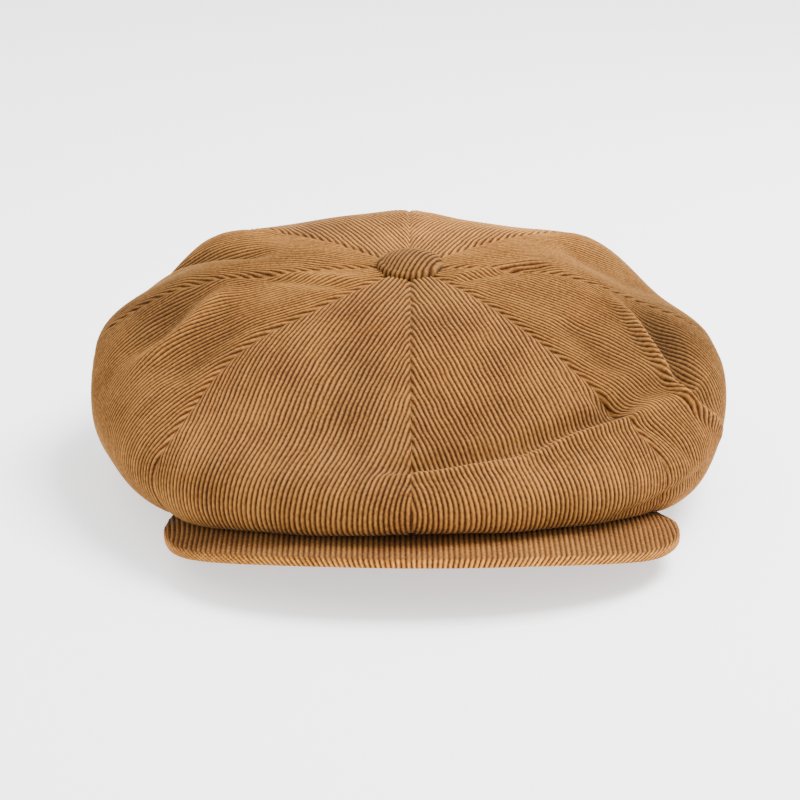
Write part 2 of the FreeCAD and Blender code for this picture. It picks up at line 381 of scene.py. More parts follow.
# ---- folds and creases ----
# A fold is a line over the crown, through points of (angle, distance from the apex). It
# lifts the cloth along it by height, over width on each side. A pleat also sinks the cloth
# beside it, by the dip, at the dip's distance: positive is the side to the right of the
# line as it is walked.
FOLDS = [
    # across the front, over the visor, then up to the right
    dict(line=[(-9, 152), (0, 149), (8, 147), (19, 143), (31, 135), (44, 131), (53, 130)],
         height=2.7, width=2.4, dip=4.2, dip_at=-5.5, dip_width=5, fade=0.2),
    dict(line=[(40, 130), (52, 129), (62, 132), (72, 138)],
         height=1.7, width=4.5, dip=2.2, dip_at=-8, dip_width=6),
    # the pocket where the front seam on the right tucks under
    dict(line=[(43, 108), (43.5, 118), (45, 128)], height=-2.2, width=4.5, fade=0.5),
    dict(line=[(47, 130), (49, 143), (55, 160)], height=-1.2, width=4, fade=0.3),
    # the sharp ridge down the right side
    dict(line=[(88, 80), (69, 103), (62.5, 122), (61, 138), (72, 160)],
         height=4.6, width=2.7, dip=5.6, dip_at=-10, dip_width=7.5, fade=0.2),
    dict(line=[(60, 70), (56, 92), (53, 112)], height=-2.0, width=8),
    # from the button to the right, along the side seam
    dict(line=[(40, 20), (78, 27), (97, 44), (99, 62)],
         height=1.2, width=3, dip=1.4, dip_at=4.5, dip_width=3),
    # from the button to the left
    dict(line=[(-46, 21), (-74, 35), (-90, 49), (-95, 68)],
         height=1.0, width=4, dip=1.2, dip_at=-6, dip_width=4),
    # a soft roll down the left side, with hollows behind and before it
    dict(line=[(-84, 68), (-76, 84), (-69, 106), (-69, 134)],
         height=3.4, width=6, dip=3.0, dip_at=13, dip_width=8, fade=0.3),
    dict(line=[(-64, 74), (-59, 100), (-57, 124)], height=-1.8, width=7),
    dict(line=[(-108, 52), (-116, 90), (-119, 114), (-116, 140)], height=-4.0, width=6),
    dict(line=[(-132, 70), (-131, 100), (-130, 128)], height=2.0, width=11),
    # pressed flat where it lies on the visor's right end
    dict(line=[(30, 172), (44, 164), (62, 160)], height=-1.4, width=2.2),
]


# painted highlight, partly rubbed wear, on a fold's crest, and painted shade at its foot:
# lighter or darker for each mm of a fold's height and of its dip
CREST_HIGHLIGHT_AND_WEAR = 0.09
FOOT_PAINTED_SHADE = 0.04
FADE = 0.25  # share of a fold's length over which each of its ends dies away


def on_map(angle, along):
    """A place on the crown laid flat, with the apex at the origin."""
    turn = np.radians(angle)
    return np.stack([along * np.sin(turn), -along * np.cos(turn)], axis=-1)


def rounded(line, per_span=6):
    """A smooth line through the same points, by Catmull-Rom spans."""
    line = np.asarray(line, dtype=float)
    padded = np.concatenate([2 * line[:1] - line[1:2], line, 2 * line[-1:] - line[-2:-1]])
    made = []
    for i in range(1, len(padded) - 2):
        a, b, c, d = padded[i - 1:i + 3]
        for t in np.arange(per_span) / per_span:
            made.append(0.5 * (2 * b + (c - a) * t + (2 * a - 5 * b + 4 * c - d) * t ** 2
                               + (3 * b - a - 3 * c + d) * t ** 3))
    made.append(line[-1])
    return np.array(made)


def to_line(points, line):
    """Signed distance from map points to a line, and how far along it they are, 0 to 1."""
    best = np.full(len(points), 1e9)
    signed = np.zeros(len(points))
    along = np.zeros(len(points))
    spans = len(line) - 1
    for i in range(spans):
        start, step = line[i], line[i + 1] - line[i]
        t = np.clip(((points - start) @ step) / (step @ step), 0, 1)
        away = points - start - t[:, None] * step
        distance = np.hypot(away[:, 0], away[:, 1])
        side = np.sign(step[1] * away[:, 0] - step[0] * away[:, 1])
        closer = distance < best
        best = np.where(closer, distance, best)
        signed = np.where(closer, side * distance, signed)
        along = np.where(closer, (i + t) / spans, along)
    return signed, along


def fold_shapes(angle, along):
    """Each fold, with how much of its ridge and of its dip is at these places, 0 to 1."""
    points = on_map(turned(angle, along).ravel(), along.ravel())
    for fold in FOLDS:
        line = rounded(on_map(*np.array(fold["line"], dtype=float).T))
        signed, share = to_line(points, line)
        fade = fold.get("fade", FADE)
        ends = smooth(share, 0, fade) * smooth(1 - share, 0, fade)
        ridge = gauss(signed, fold["width"])
        dip = gauss(signed - fold.get("dip_at", 0), fold.get("dip_width", fold["width"]))
        yield fold, (ends * ridge).reshape(angle.shape), (ends * dip).reshape(angle.shape)


def fold_lift(angle, along):
    """How far the folds move the cloth outwards."""
    total = np.zeros_like(angle)
    for fold, ridge, dip in fold_shapes(angle, along):
        total += fold["height"] * ridge - fold.get("dip", 0) * dip
    return total


def fold_highlight_and_shade(angle, along):
    """Painted highlight on the folds' crests, where the pile is also rubbed lighter, and painted
    shade in the hollows at their feet.
    """
    total = np.zeros_like(angle)
    for fold, ridge, dip in fold_shapes(angle, along):
        total += CREST_HIGHLIGHT_AND_WEAR * fold["height"] * ridge ** 2 - FOOT_PAINTED_SHADE * fold.get("dip", 0) * dip
    return total


# ---- corduroy panels ----
RIB = 2.0  # from one rib to the next
RIB_HEIGHT = 0.55
RIB_WANDER = 0.22
RIB_POWER = 0.6  # below 1 the grooves are narrower than the crests
COLUMN = RIB / 6  # from one column of points to the next
CLOTH = 1.3
SEAM_DEPTH = 0.75
SEAM_WIDTH = 1.3
SEAM_FADE = (0.7, 120, 175)  # share of its depth lost, from and to so far along
REAR_SEAM_FADE = (0.8, 30, 50)  # the same for the seam at the very back
REAR_SEAM_REACH = 20  # degrees
SEWN_RIBS = 0.9  # how close to a seam the ribs are pressed flat
RIM_RIBS = 1.0
PANEL_PUFF = 0.8
PUFF_WIDTH = 10.0
PUFF_STARTS = (8, 40)
PUCKER = 0.28  # small unevenness beside the seams
PUCKER_SIZE = 6
PUCKER_REACH = (3, 5)  # strongest so far from the seam, over this width
UNEVEN = 0.5  # broad unevenness everywhere
UNEVEN_SIZE = 26
UNEVEN_STARTS = (12, 40)
RIM_CALM = (4, 30)  # distances from the rim over which all of these die away
RIM_LIFT = 0.7  # keeps the cloth's ribs off the floor at the rim
END_STEPS = np.array([0.0, 0.35, 0.8, 1.4, 2.2, 3.2])
MIDDLE_ROWS = 90
SEAM_COLUMN = 0.3 * COLUMN  # the last column is this close to the widest place
CROWN_GAP = 0.5  # least room between the crown and the visor's top


def rib_shape(across_mm):
    """1 on a rib's crest and 0 in the groove; the groove is narrower than the crest."""
    phase = np.cos(2 * math.pi * across_mm / RIB) * 0.5 + 0.5
    return phase ** RIB_POWER


def seam_depth(angle, along, seam_distance):
    share, first, last = SEAM_FADE
    depth = SEAM_DEPTH * gauss(seam_distance, SEAM_WIDTH) * (1 - share * smooth(along, first, last))
    share, first, last = REAR_SEAM_FADE
    rear = gauss(np.abs(angle) - 180, REAR_SEAM_REACH)
    return depth * (1 - share * rear * smooth(along, first, last))


def crown_lift(angle, level, seam_distance):
    """Everything that moves the cloth off the resting form, but for its ribs."""
    along = level * CROWN_LENGTH
    lift = fold_lift(angle, along)
    calm_rim = smooth(CROWN_LENGTH - along, *RIM_CALM)
    puff = PANEL_PUFF * (1 - gauss(seam_distance, PUFF_WIDTH)) * smooth(along, *PUFF_STARTS)
    lift += puff * calm_rim - RIM_LIFT * (1 - calm_rim)
    seam = seam_depth(angle, along, seam_distance)
    x, y = np.moveaxis(on_map(angle, along), -1, 0)
    away, reach = PUCKER_REACH
    pucker = PUCKER * waves(x, y, PUCKER_SIZE, 5) * gauss(seam_distance - away, reach)
    uneven = UNEVEN * waves(x, y, UNEVEN_SIZE, 11)
    return lift - seam + (pucker + uneven) * smooth(along, *UNEVEN_STARTS) * calm_rim


# Below its widest level a gore's cloth is eased in, and its ribs run on beside the seam, as
# far as the first of these distances from the apex. By the second the seam has cut them all.
EASE_FROM = 152
EASE_TO = 200


class Gore:
    """One panel of the crown, with the flat widths of both halves at each level."""

    def __init__(self, middle):
        self.middle = middle
        self.levels = np.linspace(0, 1, 401)
        self.half = {side: self.half_width(side) for side in (-1, 1)}

    def half_width(self, side):
        steps = 9
        angles = self.middle + side * HALF_PANEL * np.linspace(0, 1, steps)
        angle, level = np.meshgrid(angles, self.levels)
        points = resting_form(angle, level)
        half = np.linalg.norm(np.diff(points, axis=1), axis=-1).sum(axis=1)
        held = 1 - smooth(self.levels * CROWN_LENGTH, EASE_FROM, EASE_TO)
        past_widest = np.arange(len(half)) > np.argmax(half)
        return np.where(past_widest, half + (half.max() - half) * held, half)

    def span(self, side, width):
        """First and last level at which this half is at least so wide."""
        half = self.half[side]
        widest = int(np.argmax(half))
        first = np.interp(width, half[:widest + 1], self.levels[:widest + 1])
        falling = half[widest:][::-1]
        last = np.where(width <= half[-1], 1.0,
                        np.interp(width, falling, self.levels[widest:][::-1]))
        return first, last

    def width_at(self, side, level):
        return np.interp(level, self.levels, self.half[side])

    def slope_at(self, side, level):
        rate = np.gradient(self.half[side], self.levels) / CROWN_LENGTH
        return np.interp(level, self.levels, rate)


def column_levels(first, last):
    """Levels of a column's points, closer together near its two ends."""
    length = (last - first) * CROWN_LENGTH
    scale = np.minimum(1, length / (4 * END_STEPS[-1]))
    head = END_STEPS[None] * scale[:, None]
    inner = np.linspace(0, 1, MIDDLE_ROWS + 2)[1:-1]
    low = head[:, -1:]
    high = length[:, None] - low
    body = low + (high - low) * inner[None]
    rows = np.concatenate([head, body, length[:, None] - head[:, ::-1]], axis=1)
    return first[:, None] + rows / CROWN_LENGTH


def gore_columns(gore):
    """Distances from the panel's middle line, as (side, distance or None for the seam)."""
    columns = []
    for side in (-1, 1):
        widest = gore.half[side].max()
        inner = np.arange(0 if side > 0 else COLUMN, widest - SEAM_COLUMN, COLUMN)
        half = [(side, float(x)) for x in inner] + [(side, None)]
        columns += half[::-1] if side < 0 else half
    return columns


# Painted light and shade on the crown, standing in for how the light falls on its nap:
# angle, distance from the apex, width in degrees, width along, and how much.
PAINTED_SHADING = [
    (0, 110, 45, 80, -0.10),
    (98, 108, 28, 40, -0.40),
    (82, 112, 16, 30, -0.16),
    (58, 112, 22, 24, -0.20),
    (-88, 100, 26, 36, -0.42),
    (180, 55, 40, 45, 0.46),
    (130, 80, 22, 30, 0.16),
    (0, 174, 50, 16, 0.08),
    (-75, 165, 30, 22, -0.08),
    (75, 165, 24, 22, -0.10),
]


def painted_shading(angle, along):
    """Painted light and shade there, as a share of the cloth's colour."""
    total = fold_highlight_and_shade(angle, along)
    for *place, amount in PAINTED_SHADING:
        total += amount * patch(angle, along, *place)
    return total


def panel_grid(middle):
    """Angle, level, signed distance from the middle line and seam distance of every point."""
    gore = Gore(middle)
    columns = gore_columns(gore)
    sides = np.array([side for side, _ in columns])
    wanted = np.array([-1.0 if x is None else x for _, x in columns])
    level = np.zeros((len(columns), MIDDLE_ROWS + 2 * len(END_STEPS)))
    distance = np.zeros_like(level)
    width = np.zeros_like(level)
    slope = np.zeros_like(level)
    for side in (-1, 1):
        here = sides == side
        asked = wanted[here]
        reach = np.where(asked < 0, gore.half[side].max() - SEAM_COLUMN, asked)
        level[here] = column_levels(*gore.span(side, reach))
        width[here] = gore.width_at(side, level[here])
        slope[here] = gore.slope_at(side, level[here])
        at_seam = (asked < 0)[:, None]
        distance[here] = np.where(at_seam, width[here], np.minimum(asked[:, None], width[here]))
    share = np.where(width > 1e-6, distance / np.maximum(width, 1e-6), 0)
    angle = middle + sides[:, None] * HALF_PANEL * share
    seam_distance = (width - distance) / np.sqrt(1 + slope ** 2)
    return angle, level, sides[:, None] * distance, seam_distance


def build_panel(name, middle):
    """A gore of ribbed cloth, with its outer and its inner face."""
    angle, level, signed, seam_distance = panel_grid(middle)
    along = level * CROWN_LENGTH
    base = resting_form(angle, level)
    normal = outward(angle, level)
    lift = crown_lift(angle, level, seam_distance)
    x, y = np.moveaxis(on_map(angle, along), -1, 0)
    rib = rib_shape(signed + RIB_WANDER * waves(x, y, 7, 5))
    pressed = (1 - gauss(seam_distance, SEWN_RIBS)) * (1 - gauss(CROWN_LENGTH - along, RIM_RIBS))
    outer = base + normal * (lift + RIB_HEIGHT * (rib * pressed - 0.5))[..., None]
    inner = base + normal * (lift - CLOTH)[..., None]
    points = both_faces(rest_on_visor(outer, CROWN_GAP), rest_on_visor(inner, CROWN_GAP + CLOTH))
    quads = shell_quads(*level.shape)
    # the shade values carry painted light and shade
    return ribbed_mesh(name, points, quads, rib, painted_shading(angle, along), (signed, along))


# ---- materials ----
class Look:
    """A material, with short ways to add nodes to it."""

    def __init__(self, name, **inputs):
        self.material = bpy.data.materials.new(name)
        self.material.use_nodes = True
        self.nodes = self.material.node_tree.nodes
        self.links = self.material.node_tree.links
        self.sockets = self.nodes["Principled BSDF"].inputs
        self.feed_all(self.sockets, inputs)

    def feed(self, socket, value):
        """A number or colour is set on the socket, and another node's output is linked to it."""
        if isinstance(value, tuple):
            socket.default_value = (*value, 1)
        elif isinstance(value, (int, float)):
            socket.default_value = value
        else:
            self.links.new(value, socket)

    def feed_all(self, sockets, inputs):
        for name, value in inputs.items():
            self.feed(sockets[name.replace("_", " ")], value)

    def output(self, kind, output, **inputs):
        """An output of a new node, with its inputs given by name."""
        node = self.nodes.new(kind)
        self.feed_all(node.inputs, inputs)
        return node.outputs[output]

    def attribute(self, name):
        node = self.nodes.new("ShaderNodeAttribute")
        node.attribute_name = name
        return node.outputs["Fac"]

    def noise(self, vector, scale, detail=3.0, stretch=(1, 1, 1)):
        """Noise over a vector that is first stretched along its axes."""
        mapping = self.nodes.new("ShaderNodeMapping")
        mapping.inputs["Scale"].default_value = stretch
        self.links.new(vector, mapping.inputs["Vector"])
        return self.output("ShaderNodeTexNoise", "Fac", Vector=mapping.outputs["Vector"],
                           Scale=scale, Detail=detail)

    def mapped(self, value, low, high, to_low, to_high):
        """A value moved from one range to another, and kept inside it."""
        return self.output("ShaderNodeMapRange", "Result", Value=value, From_Min=low,
                           From_Max=high, To_Min=to_low, To_Max=to_high)

    def math(self, operation, first, second):
        node = self.nodes.new("ShaderNodeMath")
        node.operation = operation
        self.feed(node.inputs[0], first)
        self.feed(node.inputs[1], second)
        return node.outputs[0]

    def multiplied(self, factor, first, second):
        """The first colour, or where the factor is 1 the product of the two."""
        node = self.nodes.new("ShaderNodeMix")
        node.data_type = "RGBA"
        node.blend_type = "MULTIPLY"
        for place, value in ((0, factor), (6, first), (7, second)):
            self.feed(node.inputs[place], value)
        return node.outputs[2]

    def shaded(self, color, shade):
        """A colour made lighter or darker by a factor."""
        grey = self.output("ShaderNodeCombineColor", "Color", Red=shade, Green=shade, Blue=shade)
        return self.multiplied(1.0, color, grey)

    def ramp(self, value, stops):
        node = self.nodes.new("ShaderNodeValToRGB")
        elements = node.color_ramp.elements
        first, *between, last = stops
        for element, (position, color) in zip(elements, (first, last)):
            element.position = position
            element.color = (*color, 1)
        for position, color in between:
            elements.new(position).color = (*color, 1)
        self.links.new(value, node.inputs["Fac"])
        return node.outputs["Color"]

    def bump(self, height, strength, depth):
        normal = self.output("ShaderNodeBump", "Normal", Strength=strength, Distance=depth,
                             Height=height)
        self.links.new(normal, self.sockets["Normal"])


# the ground between the ribs, their flanks and their crests: place on the ramp and colour;
# the ground's darkness is partly the cloth's own and partly painted shade in the grooves
PILE_AND_GROOVE_SHADE = [
    (0.12, (0.029, 0.0078, 0.0013)),
    (0.42, (0.094, 0.033, 0.0057)),
    (0.75, (0.180, 0.074, 0.0150)),
    (1.00, (0.305, 0.140, 0.033)),
]


def corduroy():
    """Cut pile: pale worn crests, dark ground between them partly painted as shade, nap that lies
    unevenly.
    """
    look = Look("corduroy", Roughness=0.95, Specular_IOR_Level=0.1, Sheen_Weight=0.07,
                Sheen_Roughness=0.45, Sheen_Tint=(1.0, 0.80, 0.52))
    pattern = look.nodes.new("ShaderNodeUVMap")
    pattern.uv_map = "pattern"
    flat = pattern.outputs["UV"]
    place = look.nodes.new("ShaderNodeTexCoord").outputs["Object"]
    tufts = look.noise(flat, 900, 4, (1, 0.8, 1))
    streaks = look.noise(flat, 260, 3, (1.6, 0.16, 1))
    nap = look.noise(place, 38, 5)
    wear = look.noise(place, 16)
    height = look.math("ADD", look.attribute("rib"), look.mapped(tufts, 0.25, 0.75, -0.22, 0.22))
    height = look.math("ADD", height, look.mapped(nap, 0.3, 0.7, -0.12, 0.12))
    shade = look.math("MULTIPLY", look.mapped(streaks, 0.25, 0.75, 0.76, 1.14),
                      look.mapped(wear, 0.3, 0.7, 0.92, 1.08))
    # painted light and shade, from the mesh's shade attribute
    shade = look.math("MULTIPLY", shade, look.math("ADD", look.attribute("shade"), 1.0))
    color = look.shaded(look.ramp(height, PILE_AND_GROOVE_SHADE), shade)
    blush = look.mapped(look.noise(place, 24, 2), 0.52, 0.72, 0.0, 0.30)
    color = look.multiplied(blush, color, (0.95, 0.74, 0.62))
    look.feed(look.sockets["Base Color"], color)
    look.bump(tufts, 0.6, 0.0004)
    return look.material


def woven(name, color, roughness, scale, stretch, depth, sheen=0.0):
    """Plain cloth: fine stretched noise in its colour and as a bump."""
    look = Look(name, Roughness=roughness, Specular_IOR_Level=0.3, Sheen_Weight=sheen)
    place = look.nodes.new("ShaderNodeTexCoord").outputs["Object"]
    threads = look.noise(place, scale, 3, stretch)
    patches = look.noise(place, 30)
    shade = look.math("MULTIPLY", look.mapped(threads, 0.3, 0.7, 0.82, 1.14),
                      look.mapped(patches, 0.3, 0.7, 0.93, 1.06))
    look.feed(look.sockets["Base Color"], look.shaded(color, shade))
    look.bump(threads, 0.5, depth)
    return look.material


CORDUROY = corduroy()
SATIN = woven("lining_satin", (0.105, 0.052, 0.026), 0.38, 700, (1, 0.25, 1), 0.00005, 0.2)
BAND_CLOTH = woven("sweatband", (0.060, 0.034, 0.021), 0.8, 1500, (1, 1, 0.12), 0.0003, 0.2)
BOARD = Look("board", Base_Color=(0.75, 0.75, 0.72), Roughness=0.6).material
METAL = Look("button_metal", Base_Color=(0.70, 0.70, 0.71), Roughness=0.34, Metallic=0.9).material
RIBBON = woven("ribbon", (0.62, 0.57, 0.47), 0.8, 2200, (1, 1, 0.2), 0.0002)


def finish_piece(piece, material, slot, body, *nodes):
    """Gives a piece its material and its body, and hides the CAD nodes that it stands for."""
    piece.data.materials.append(material)
    if body is not None:
        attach(piece, body)
    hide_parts(*nodes)


def crown():
    for node, middle in gores("crown_panel"):
        piece = build_panel(f"{node}_corduroy", middle)
        finish_piece(piece, CORDUROY, "corduroy", "cap", node)


# ---- lining ----
LINING = 0.4
LINING_DEPTH = 2.3  # under the crown's resting form
LINING_GAP = 2.2  # least room between it and the visor's top
LINING_COLUMNS = 25
LINING_ROWS = 120
LINING_HALF_WIDTH = 45  # about that of a panel, for the distance to its seams
LINING_SEAM = (0.5, 1.6)  # depth and width
RUMPLE = 0.35
RUMPLE_SIZE = 14
RUMPLE_STARTS = (15, 50)
BEHIND_BAND = 0.85  # from this level on it stays outside the sweatband


def build_lining(name, middle):
    """A thin shell that hangs a little under a crown panel and follows its folds."""
    shares = np.linspace(-1, 1, LINING_COLUMNS)
    angle, level = np.meshgrid(middle + HALF_PANEL * shares, np.linspace(0, 1, LINING_ROWS))
    seam_distance = (1 - np.abs(angle - middle) / HALF_PANEL) * LINING_HALF_WIDTH * np.sqrt(level)
    base = resting_form(angle, level)
    normal = outward(angle, level)
    along = level * CROWN_LENGTH
    x, y = np.moveaxis(on_map(angle, along), -1, 0)
    seam_deep, seam_wide = LINING_SEAM
    seam = seam_deep * gauss(seam_distance, seam_wide)
    rumple = RUMPLE * waves(x, y, RUMPLE_SIZE, 31) * smooth(along, *RUMPLE_STARTS) - RUMPLE
    lift = fold_lift(angle, along) - LINING_DEPTH + rumple - seam
    outer = base + normal * lift[..., None]
    inner = base + normal * (lift - LINING)[..., None]
    points = both_faces(rest_on_visor(outer, LINING_GAP), rest_on_visor(inner, LINING_GAP + LINING))
    radius = np.hypot(points[:, 0], points[:, 1])
    bearing = np.degrees(np.arctan2(points[:, 0], -points[:, 1]))
    lower = np.tile(level.ravel() > BEHIND_BAND, 2)
    limit = rim_radius(bearing)
    grow = np.where(lower & (radius < limit), limit / np.maximum(radius, 1), 1.0)
    points[:, :2] *= grow[:, None]
    return make_mesh(name, points, shell_quads(*level.shape))


def lining():
    for node, middle in gores("lining_panel"):
        piece = build_lining(f"{node}_satin", middle)
        finish_piece(piece, SATIN, "lining_satin", "cap", node)


# ---- visor ----
visor_low, visor_high = (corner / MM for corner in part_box("visor_top_cover"))
VISOR_HALF_WIDTH = visor_high.x
VISOR_FRONT_Y = visor_low.y
VISOR_END_Y = visor_high.y
VISOR_WIDEST_Y = -97.0
VISOR_END_X = 80.0
VISOR_SIDE = (96.5, -72.0)
VISOR_CORNER_POWER = 2.25
VISOR_THICK = 4.2
VISOR_MID_Z = visor_high.z - VISOR_THICK / 2
VISOR_ARCH = (13.0, VISOR_HALF_WIDTH, 3.0)  # drop, at this half width, power
ROOT_ARCH = (16.0, 78.0, 1.8)
VISOR_GAP = 0.8  # from the sweatband
VISOR_SKEW = 4.8  # the visor's front sits a little to the right
SKEW_STARTS = (60, 115)  # distances in front of the origin
VISOR_LIFT = 2.5  # its right end is higher than the other
LIFT_ACROSS = (45, 105)
LIFT_STARTS = (55, 85)
LIFT_ENDS = (105, 138)
# painted light on the visor's cloth: a little on its top, more round its edge
VISOR_TOP_PAINTED_LIGHT = 0.04
EDGE_PAINTED_LIGHT = 0.85
EDGE_ZONE = (-0.9, 0.4)  # distances from the outline over which the edge begins
TOP_RIBS = 0.68  # how much of the ribs' contrast is left on the pressed top
SEWN_VISOR_RIBS = 0.8  # how close to its sewn edge a cloth's ribs are pressed flat
EDGE_RADIUS = 1.0
EDGE_SLANT = 0.0105  # for each mm that the cloth is drawn round the edge
COVER = 1.0
COVER_END = 4.9  # how far the top cover runs round the edge
UNDER_START = -0.9
SIDE_INSET = 0.6  # keeps the last column from shrinking to a point
TOP_ROWS = 78
UNDER_ROWS = 48
EDGE_CROWDING = 1.35  # above 1 the rows of points are closer together at the front edge
BOARD_INSET = 2.2
BOARD_ROWS = 24
BOARD_COLUMN_STEP = 6
BOARD_PLAY = 0.1
REST_FROM_Y = -45.0  # no visor behind this
BESIDE_VISOR = (-0.5, 9)  # distances outside it over which it stops lifting cloth
FREE_DROP = 30.0  # and how much lower the cloth may be there
SOFT_REST = 0.8  # rounds the change from free to resting cloth


def visor_z(x, y):
    """Height of the visor's middle layer: the CAD's, and the lift of its right end."""
    back = np.clip((y - VISOR_WIDEST_Y) / (VISOR_END_Y - VISOR_WIDEST_Y), 0, 1)
    drops = [drop * np.abs(x / half) ** power for drop, half, power in (VISOR_ARCH, ROOT_ARCH)]
    lifted = VISOR_LIFT * smooth(x, *LIFT_ACROSS) * smooth(-y, *LIFT_STARTS)
    lifted = lifted * (1 - smooth(-y, *LIFT_ENDS))
    return VISOR_MID_Z - drops[0] * (1 - back) - drops[1] * back + lifted


def visor_outline():
    """Plan of the visor from its right rear end round the front to the left one."""
    turns = np.linspace(-math.pi / 2, math.pi / 2, 241)
    power = 2 / VISOR_CORNER_POWER
    x = VISOR_HALF_WIDTH * np.sign(np.sin(turns)) * np.abs(np.sin(turns)) ** power
    y = VISOR_WIDEST_Y + (VISOR_FRONT_Y - VISOR_WIDEST_Y) * np.abs(np.cos(turns)) ** power
    front = np.stack([x, y], axis=-1)
    side = rounded([front[-1], VISOR_SIDE, (VISOR_END_X, VISOR_END_Y)], 20)
    line = np.concatenate([side[:0:-1] * (-1, 1), front, side[1:]])
    return by_length(line, 700)[0]


def outline_normals(line):
    """Unit normals of the outline that point away from the visor."""
    tangent = unit(np.gradient(line, axis=0))
    normals = np.stack([-tangent[:, 1], tangent[:, 0]], axis=-1)
    front = normals[len(line) // 2]
    return -normals if front[1] > 0 else normals


OUTLINE = visor_outline()
OUTLINE_NORMAL = outline_normals(OUTLINE)


def to_outline(x, y):
    """Nearest outline point, the outward normal there, and the signed distance outwards."""
    points = np.stack([x.ravel(), y.ravel()], axis=-1)
    nearest = np.zeros(len(points), dtype=int)
    for first in range(0, len(points), 4000):
        part = points[first:first + 4000]
        gap = ((part[:, None] - OUTLINE[None]) ** 2).sum(axis=-1)
        nearest[first:first + 4000] = gap.argmin(axis=1)
    normal = OUTLINE_NORMAL[nearest]
    signed = ((points - OUTLINE[nearest]) * normal).sum(axis=-1)
    foot = points - signed[:, None] * normal
    shape = x.shape
    return foot.reshape(*shape, 2), normal.reshape(*shape, 2), signed.reshape(shape)


def edge_path(run, half):
    """Out and up from the visor's edge line, after a run round its rounded edge from above."""
    side = 2 * (half - EDGE_RADIUS)
    arc = math.pi / 2 * EDGE_RADIUS
    first = np.clip(run, 0, arc) / EDGE_RADIUS
    down = np.clip(run - arc, 0, side)
    second = np.clip(run - arc - side, 0, arc) / EDGE_RADIUS
    out = EDGE_RADIUS * (np.sin(first) - 1) + EDGE_RADIUS * (np.cos(second) - 1)
    up = half - EDGE_RADIUS * (1 - np.cos(first)) - down - EDGE_RADIUS * np.sin(second)
    return out, up


def root_y(x):
    """Where the visor's sewn edge is, at an x."""
    inside = np.clip(1 - (x / (BAND_HALF_X + VISOR_GAP)) ** 2, 0, 1)
    return -(BAND_HALF_Y + VISOR_GAP) * np.sqrt(inside)


def plan_grid(grow, rows):
    """Flat cloth positions: columns of constant x, from the root or side to the front edge."""
    edge = OUTLINE + OUTLINE_NORMAL * grow
    reach = VISOR_HALF_WIDTH + grow - SIDE_INSET
    half = np.append(np.arange(0, reach, COLUMN), reach)
    xs = np.concatenate([-half[:0:-1], half])
    widest = int(np.argmax(edge[:, 0]))
    narrow = int(np.argmin(edge[:, 0]))
    front = edge[narrow:widest + 1]
    side = edge[widest:]
    front_y = np.interp(xs, front[:, 0], front[:, 1])
    side_y = np.interp(np.abs(xs), side[::-1, 0], side[::-1, 1])
    back_y = np.where(np.abs(xs) < side[-1, 0], VISOR_END_Y, side_y)
    back_y = np.minimum(np.where(np.abs(xs) < BAND_HALF_X, root_y(xs), 0), back_y)
    share = np.linspace(0, 1, rows)
    share = np.where(share < 0.5, share, 1 - 0.5 * (2 - 2 * share) ** EDGE_CROWDING)
    y = back_y + (front_y - back_y) * share[:, None]
    return np.broadcast_to(xs, y.shape), y


def visor_shift(y):
    """How far to the right the visor has been pushed."""
    return VISOR_SKEW * smooth(-y, *SKEW_STARTS)


def rest_on_visor(points, gap):
    """The same points, raised where they are less than gap above the visor's top."""
    shape = points.shape
    points = points.reshape(-1, 3).copy()
    near = points[:, 1] < REST_FROM_Y
    if not near.any():
        return points.reshape(shape)
    y = points[near, 1]
    x = points[near, 0] - visor_shift(y)
    _, _, signed = to_outline(x, y)
    top = visor_z(x, y) + VISOR_THICK / 2 + RIB_HEIGHT / 2
    limit = top + gap - FREE_DROP * smooth(signed, *BESIDE_VISOR)
    z = points[near, 2]
    points[near, 2] = SOFT_REST * np.logaddexp(z / SOFT_REST, limit / SOFT_REST)
    return points.reshape(shape)


def slanted(x, run):
    """Flat rib positions where the cloth is drawn round the edge, towards the middle."""
    return x * (1 + EDGE_SLANT * np.maximum(run, 0))


def skewed(points):
    """The visor's points after that push."""
    moved = points.copy()
    moved[..., 0] += visor_shift(points[..., 1])
    return moved


def visor_surface(x, y, half, ribs, underside=False):
    """Points of a cover's outer face and the cloth's inner face under it."""
    foot, normal, signed = to_outline(x, y)
    run = signed + EDGE_RADIUS
    inside = run <= 0
    out, up = edge_path(np.maximum(run, 0), half)
    plan = np.where(inside[..., None], np.stack([x, y], axis=-1), foot + normal * out[..., None])
    upwards = -1 if underside else 1
    lift = upwards * np.where(inside, half, up)
    middle = visor_z(plan[..., 0], plan[..., 1])
    points = np.concatenate([plan, (middle + lift)[..., None]], axis=-1)
    facing = unit(np.cross(np.gradient(points, axis=1), np.gradient(points, axis=0)))
    facing = facing * np.sign((facing[..., 2] * upwards)[len(x) // 4].mean())
    outer = points + facing * (RIB_HEIGHT * (ribs - 0.5))[..., None]
    return outer, points - facing * COVER, signed


def visor_painted_light(signed):
    """Painted light: a little on top of the visor, and much more round its edge."""
    edge = smooth(signed, *EDGE_ZONE)
    return VISOR_TOP_PAINTED_LIGHT + (EDGE_PAINTED_LIGHT - VISOR_TOP_PAINTED_LIGHT) * edge


